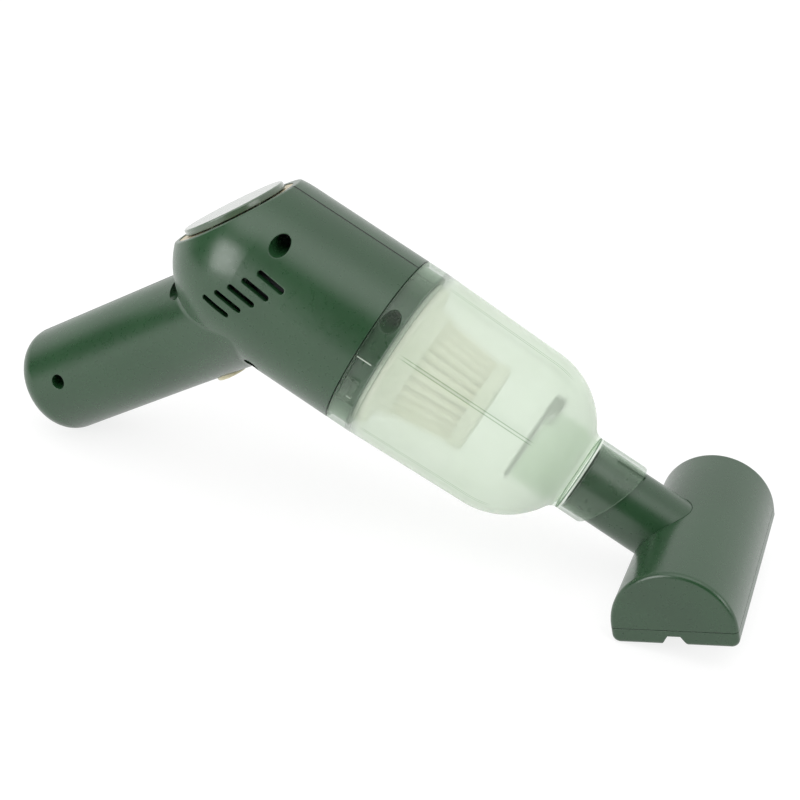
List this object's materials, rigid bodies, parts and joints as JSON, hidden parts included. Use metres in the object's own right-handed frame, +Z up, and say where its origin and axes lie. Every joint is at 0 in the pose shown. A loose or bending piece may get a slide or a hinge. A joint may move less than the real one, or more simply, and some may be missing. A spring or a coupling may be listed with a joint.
{
  "type": "handheld vacuum cleaner",
  "caption": "Cordless handheld vacuum cleaner with a round barrel, angled grip, frosted see-through dust cup and a wide D-shaped brush head on a short tube.",
  "frame": {"origin": "middle of the box that holds the object, on the surface it stands on", "axes": "+Z up as it stands on the round end of its grip and the heel of its sole; +X towards the nozzle, the long way; +Y towards its left side, square to the plane that splits the housing"},
  "size_m": [0.317, 0.094, 0.1282],
  "materials": {
    "housing_green": "satin dark green plastic",
    "exhaust_grey_green": "satin pale grey-green plastic",
    "cream_plastic": "satin cream plastic",
    "gold_button": "pearl gold plastic",
    "cup_frosted": "frosted see-through plastic with a clear rim and neck",
    "flap_rubber": "matte dark rubber",
    "seal_rubber": "soft pale rubber",
    "filter_plastic": "satin cream plastic",
    "filter_paper": "pleated fibre paper",
    "screw_steel": "zinc-plated steel",
    "motor_steel": "drawn steel",
    "shaft_steel": "ground steel",
    "bush_brass": "sintered bronze",
    "magnet_ferrite": "matte ferrite",
    "armature_steel": "stacked sheet steel",
    "black_plastic": "matte black plastic",
    "fan_plastic": "matte dark grey plastic",
    "mount_rubber": "matte black rubber",
    "foam": "open-cell foam",
    "cell_wrap": "blue shrink wrap",
    "tab_nickel": "nickel strip",
    "board_green": "green board lacquer",
    "lead_red": "soft red wire sleeve"
  },
  "bodies": {
    "housing": {"housing_left": "housing_green", "housing_right": "housing_green", "housing_screws": "screw_steel", "exhaust_ring": "cream_plastic", "exhaust_cap": "exhaust_grey_green", "exhaust_foam": "foam", "power_switch": "black_plastic", "control_board": "board_green", "battery_cell_left": "cell_wrap", "battery_cell_right": "cell_wrap", "battery_holder": "black_plastic", "battery_tab_top": "tab_nickel", "battery_tab_bottom": "tab_nickel", "charging_socket": "motor_steel", "charging_board": "board_green", "intake_guard": "housing_green", "fan_shroud": "fan_plastic", "fan_plate": "motor_steel", "fan_plate_screws": "screw_steel", "motor_can": "motor_steel", "motor_end_bell": "black_plastic", "motor_bushes": "bush_brass", "motor_magnets": "magnet_ferrite", "motor_mount_front": "mount_rubber", "motor_mount_rear": "mount_rubber", "motor_leads": "lead_red"},
    "button": {"power_button": "gold_button", "switch_plunger": "black_plastic"},
    "rotor": {"motor_armature": "armature_steel", "motor_shaft": "shaft_steel", "impeller": "fan_plastic"},
    "bayonet": {"cup_seal": "seal_rubber"},
    "cup": {"dust_cup": "cup_frosted", "flap_pin": "shaft_steel"},
    "flap": {"inlet_flap": "flap_rubber"},
    "filter": {"filter_base": "filter_plastic", "filter_media": "filter_paper", "filter_end_cap": "filter_plastic", "filter_gasket": "seal_rubber"},
    "brush": {"nozzle_tube": "housing_green", "brush_head_shell": "housing_green", "sole_plate": "housing_green", "sole_screws": "screw_steel"}
  },
  "joints": [
    {"name": "button_press", "type": "slide", "parent": "housing", "child": "button", "axis": [-0.5339, 0, 0.8456], "range_m": [0, 0.0012], "stiffness_N_per_m": 1200, "springref_m": -0.0008},
    {"name": "motor_spin", "type": "hinge", "parent": "housing", "child": "rotor", "pos_m": [-0.00048, 0, 0.07336], "axis": [0.9223, 0, -0.3864], "continuous": true},
    {"name": "cup_twist", "type": "hinge", "parent": "housing", "child": "bayonet", "pos_m": [-0.00048, 0, 0.07336], "axis": [-0.9223, 0, 0.3864], "range_deg": [0, 15]},
    {"name": "cup_pull", "type": "slide", "parent": "bayonet", "child": "cup", "axis": [0.9223, 0, -0.3864], "range_m": [0, 0.06]},
    {"name": "flap_swing", "type": "hinge", "parent": "cup", "child": "flap", "pos_m": [0.07333, 0, 0.06217], "axis": [0, 1, 0], "range_deg": [0, 30]},
    {"name": "brush_pull", "type": "slide", "parent": "cup", "child": "brush", "axis": [0.9223, 0, -0.3864], "range_m": [0, 0.022]},
    {"name": "filter_pull", "type": "slide", "parent": "housing", "child": "filter", "axis": [0.9223, 0, -0.3864], "range_m": [0, 0.016]}
  ]
}
